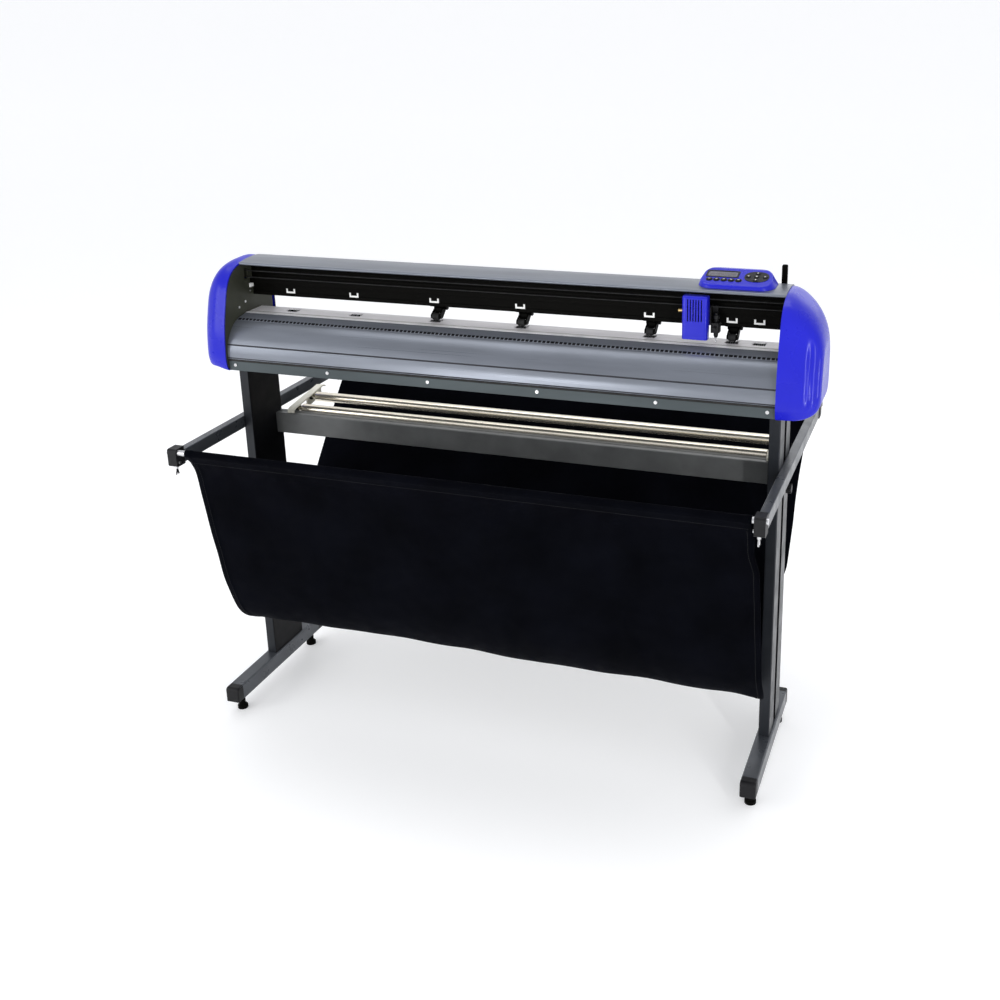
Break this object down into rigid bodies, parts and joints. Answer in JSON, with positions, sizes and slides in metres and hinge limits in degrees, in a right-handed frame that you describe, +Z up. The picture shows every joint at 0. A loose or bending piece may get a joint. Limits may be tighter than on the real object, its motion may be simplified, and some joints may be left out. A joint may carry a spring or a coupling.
{
  "type": "vinyl cutter",
  "caption": "Floor-standing roll-fed vinyl cutter: knife carriage on a beam over a grit-roller deck, blue end caps, lift lever, column stand and cloth catch basket.",
  "frame": {"origin": "on the floor under the middle of the machine's overall box", "axes": "+X along the head to the operator's right, +Y to the rear, +Z up; the operator stands at -Y"},
  "size_m": [1.4738, 0.775, 1.149],
  "materials": {
    "black_anodised": "satin black",
    "black_plastic": "fine texture",
    "cap_blue": "gloss moulded",
    "circuit": "circuit board",
    "cloth": "plain weave",
    "deck_metal": "fine satin",
    "display": "clear window",
    "head_metal": "metallic satin",
    "roller_steel": "polished tube",
    "rubber": "matte",
    "side_paint": "matte charcoal",
    "stand_paint": "satin powder coat",
    "steel": "bright turned",
    "zinc": "cream enamel"
  },
  "bodies": {
    "frame": {"columns": "stand_paint", "foot_beams": "stand_paint", "levelling_feet": "black_anodised", "crossbeam": "stand_paint", "stand_bolts": "black_anodised", "basket_arms": "stand_paint", "basket_rods": "steel", "rod_clamps": "black_plastic", "wing_screws": "steel", "media_basket": "cloth", "roll_brackets": "zinc", "roll_bushings": "black_plastic", "side_plates": "side_paint", "end_cap_left": "cap_blue", "end_cap_right": "cap_blue", "front_panel": "head_metal", "base_tray": "head_metal", "platen": "deck_metal", "rear_panel": "head_metal", "beam": "black_anodised", "top_cover": "head_metal", "head_screws": "steel", "guide_rail": "black_anodised", "drive_belt": "rubber", "carriage_motor": "black_anodised", "feed_motor": "black_anodised", "pinch_brackets": "black_anodised", "control_pod": "cap_blue", "display_window": "display", "main_board": "circuit", "power_supply": "steel", "power_inlet": "black_plastic"},
    "roll_front": {"roll_shaft_front": "roller_steel"},
    "roll_rear": {"roll_shaft_rear": "roller_steel"},
    "knob_left": {"arm_knob_left": "black_plastic"},
    "knob_right": {"arm_knob_right": "black_plastic"},
    "feed_shaft": {"grit_shaft": "steel"},
    "pinch_set": {"pinch_arms": "black_anodised"},
    "lever": {"lift_lever": "black_anodised"},
    "idler": {"idler_pulley": "steel"},
    "drive_wheel": {"drive_pulley": "steel"},
    "carriage": {"carriage_block": "black_anodised", "carriage_cover": "cap_blue"},
    "tool": {"tool_holder": "black_plastic"},
    "knife": {"blade": "steel"},
    "rocker": {"power_rocker": "black_plastic"},
    "pinch_wheel_1": {"pinch_roller_1": "rubber"},
    "pinch_wheel_2": {"pinch_roller_2": "rubber"},
    "pinch_wheel_3": {"pinch_roller_3": "rubber"},
    "pinch_wheel_4": {"pinch_roller_4": "rubber"},
    "soft_key_1_cap": {"soft_key_1": "black_plastic"},
    "soft_key_2_cap": {"soft_key_2": "black_plastic"},
    "soft_key_3_cap": {"soft_key_3": "black_plastic"},
    "soft_key_4_cap": {"soft_key_4": "black_plastic"},
    "soft_key_5_cap": {"soft_key_5": "black_plastic"},
    "enter_key_cap": {"enter_key": "black_plastic"},
    "left_key_cap": {"left_key": "black_plastic"},
    "right_key_cap": {"right_key": "black_plastic"},
    "up_key_cap": {"up_key": "black_plastic"},
    "down_key_cap": {"down_key": "black_plastic"}
  },
  "joints": [
    {"name": "roll_front_spin", "type": "hinge", "parent": "frame", "child": "roll_front", "pos_m": [-0.01045, 0.0425, 0.709], "axis": [1, 0, 0], "continuous": true},
    {"name": "roll_rear_spin", "type": "hinge", "parent": "frame", "child": "roll_rear", "pos_m": [-0.01045, 0.1125, 0.72], "axis": [1, 0, 0], "continuous": true},
    {"name": "knob_left_turn", "type": "hinge", "parent": "frame", "child": "knob_left", "pos_m": [-0.67845, -0.0595, 0.675], "axis": [1, 0, 0], "range_deg": [-1080, 0]},
    {"name": "knob_right_turn", "type": "hinge", "parent": "frame", "child": "knob_right", "pos_m": [0.65755, -0.0595, 0.675], "axis": [1, 0, 0], "range_deg": [0, 1080]},
    {"name": "feed_spin", "type": "hinge", "parent": "frame", "child": "feed_shaft", "pos_m": [-0.01045, -0.0145, 0.973], "axis": [1, 0, 0], "continuous": true},
    {"name": "lift_turn", "type": "hinge", "parent": "frame", "child": "lever", "pos_m": [0.62455, 0.0405, 1.043], "axis": [1, 0, 0], "range_deg": [-55, 0]},
    {"name": "pinch_lift", "type": "hinge", "parent": "frame", "child": "pinch_set", "pos_m": [-0.01045, 0.0165, 1.012], "axis": [1, 0, 0], "range_deg": [-6, 0]},
    {"name": "pinch_spin_1", "type": "hinge", "parent": "pinch_set", "child": "pinch_wheel_1", "pos_m": [-0.18045, -0.0145, 0.9943], "axis": [1, 0, 0], "continuous": true},
    {"name": "pinch_spin_2", "type": "hinge", "parent": "pinch_set", "child": "pinch_wheel_2", "pos_m": [0.03455, -0.0145, 0.9943], "axis": [1, 0, 0], "continuous": true},
    {"name": "pinch_spin_3", "type": "hinge", "parent": "pinch_set", "child": "pinch_wheel_3", "pos_m": [0.33955, -0.0145, 0.9943], "axis": [1, 0, 0], "continuous": true},
    {"name": "pinch_spin_4", "type": "hinge", "parent": "pinch_set", "child": "pinch_wheel_4", "pos_m": [0.52455, -0.0145, 0.9943], "axis": [1, 0, 0], "continuous": true},
    {"name": "carriage_travel", "type": "slide", "parent": "frame", "child": "carriage", "axis": [1, 0, 0], "range_m": [-1.07, 0.12]},
    {"name": "idler_spin", "type": "hinge", "parent": "frame", "child": "idler", "pos_m": [-0.69545, -0.0465, 1.077], "axis": [0, 1, 0], "continuous": true},
    {"name": "drive_spin", "type": "hinge", "parent": "frame", "child": "drive_wheel", "pos_m": [0.66855, -0.0465, 1.077], "axis": [0, 1, 0], "continuous": true},
    {"name": "tool_drop", "type": "slide", "parent": "carriage", "child": "tool", "axis": [0, 0, -1], "range_m": [0, 0.0025], "stiffness_N_per_m": 250, "springref_m": -0.006},
    {"name": "blade_swivel", "type": "hinge", "parent": "tool", "child": "knife", "pos_m": [0.49455, -0.0455, 1.003], "axis": [0, 0, 1], "continuous": true},
    {"name": "rocker_tilt", "type": "hinge", "parent": "frame", "child": "rocker", "pos_m": [0.58155, 0.056, 0.895], "axis": [1, 0, 0], "range_deg": [0, 14]},
    {"name": "soft_key_1_press", "type": "slide", "parent": "frame", "child": "soft_key_1_cap", "axis": [0, 0.2747, -0.9615], "range_m": [0, 0.0012], "stiffness_N_per_m": 300, "springref_m": -0.0008},
    {"name": "soft_key_2_press", "type": "slide", "parent": "frame", "child": "soft_key_2_cap", "axis": [0, 0.2747, -0.9615], "range_m": [0, 0.0012], "stiffness_N_per_m": 300, "springref_m": -0.0008},
    {"name": "soft_key_3_press", "type": "slide", "parent": "frame", "child": "soft_key_3_cap", "axis": [0, 0.2747, -0.9615], "range_m": [0, 0.0012], "stiffness_N_per_m": 300, "springref_m": -0.0008},
    {"name": "soft_key_4_press", "type": "slide", "parent": "frame", "child": "soft_key_4_cap", "axis": [0, 0.2747, -0.9615], "range_m": [0, 0.0012], "stiffness_N_per_m": 300, "springref_m": -0.0008},
    {"name": "soft_key_5_press", "type": "slide", "parent": "frame", "child": "soft_key_5_cap", "axis": [0, 0.2747, -0.9615], "range_m": [0, 0.0012], "stiffness_N_per_m": 300, "springref_m": -0.0008},
    {"name": "enter_key_press", "type": "slide", "parent": "frame", "child": "enter_key_cap", "axis": [0, 0.2747, -0.9615], "range_m": [0, 0.0012], "stiffness_N_per_m": 300, "springref_m": -0.0008},
    {"name": "left_key_press", "type": "slide", "parent": "frame", "child": "left_key_cap", "axis": [0, 0.2747, -0.9615], "range_m": [0, 0.0012], "stiffness_N_per_m": 300, "springref_m": -0.0008},
    {"name": "right_key_press", "type": "slide", "parent": "frame", "child": "right_key_cap", "axis": [0, 0.2747, -0.9615], "range_m": [0, 0.0012], "stiffness_N_per_m": 300, "springref_m": -0.0008},
    {"name": "up_key_press", "type": "slide", "parent": "frame", "child": "up_key_cap", "axis": [0, 0.2747, -0.9615], "range_m": [0, 0.0012], "stiffness_N_per_m": 300, "springref_m": -0.0008},
    {"name": "down_key_press", "type": "slide", "parent": "frame", "child": "down_key_cap", "axis": [0, 0.2747, -0.9615], "range_m": [0, 0.0012], "stiffness_N_per_m": 300, "springref_m": -0.0008}
  ],
  "couplings": [
    {"joint": "pinch_lift", "follows": "lift_turn", "ratio": 0.10909},
    {"joint": "idler_spin", "follows": "carriage_travel", "rad_per_m": 128.21},
    {"joint": "drive_spin", "follows": "carriage_travel", "rad_per_m": 128.21}
  ]
}
